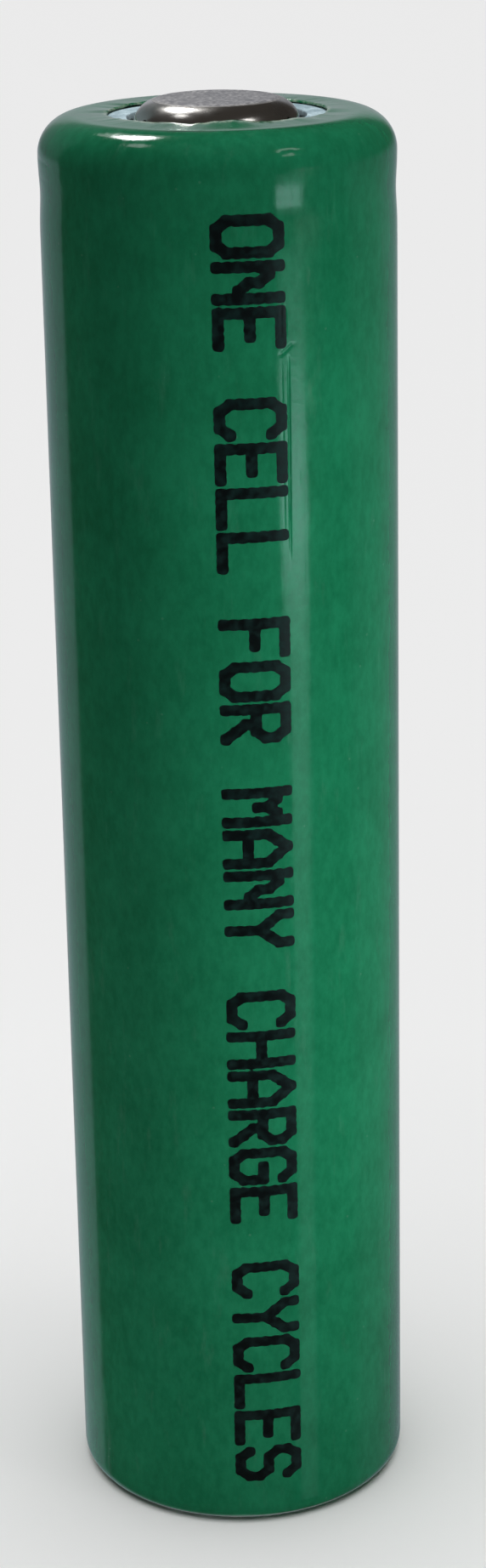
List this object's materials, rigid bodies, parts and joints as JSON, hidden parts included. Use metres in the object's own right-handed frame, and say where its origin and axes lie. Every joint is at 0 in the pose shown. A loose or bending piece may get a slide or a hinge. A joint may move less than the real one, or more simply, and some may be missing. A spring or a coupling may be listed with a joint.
{
  "type": "cylindrical battery cell",
  "caption": "Rechargeable cylindrical cell with a flat positive cap, a beaded and crimped can and a shrink sleeve.",
  "frame": {"origin": "centre of the negative end's flat contact face, which the cell stands on", "axes": "+Z along the cell's axis, from the negative end to the positive cap"},
  "size_m": [0.0104, 0.0104, 0.0438],
  "materials": {
    "sleeve_pvc": "glossy green heat-shrunk PVC",
    "washer_paper": "pale pressed fibre paper",
    "can_nickel": "drawn steel with satin nickel plating",
    "gasket_nylon": "translucent natural nylon",
    "lid_nickel": "stamped steel with nickel plating",
    "cap_nickel": "bright nickel plating with contact wear",
    "valve_steel": "satin stainless steel",
    "vent_rubber": "matt black EPDM rubber",
    "tab_nickel": "rolled nickel strip",
    "disc_plastic": "white polypropylene sheet",
    "separator_fabric": "white non-woven polypropylene",
    "positive_foam": "nickel hydroxide pressed into nickel foam",
    "alloy_powder": "pressed hydride alloy powder",
    "strip_steel": "nickel-plated strip",
    "print_ink": "black dot-matrix ink"
  },
  "bodies": {
    "cell": {"shrink_sleeve": "sleeve_pvc", "top_washer": "washer_paper", "steel_can": "can_nickel", "sealing_gasket": "gasket_nylon", "lid_plate": "lid_nickel", "positive_cap": "cap_nickel", "vent_rubber": "vent_rubber", "positive_tab": "tab_nickel", "upper_insulator": "disc_plastic", "lower_insulator": "disc_plastic", "inner_separator": "separator_fabric", "outer_separator": "separator_fabric", "positive_electrode": "positive_foam", "negative_alloy_inner": "alloy_powder", "negative_alloy_outer": "alloy_powder", "negative_core_strip": "strip_steel"},
    "vent_valve": {"vent_disc": "valve_steel"}
  },
  "joints": [
    {"name": "vent_lift", "type": "slide", "parent": "cell", "child": "vent_valve", "axis": [0, 0, 1], "range_m": [0, 0.00015], "stiffness_N_per_m": 20000, "deforming": ["vent_rubber"]}
  ]
}
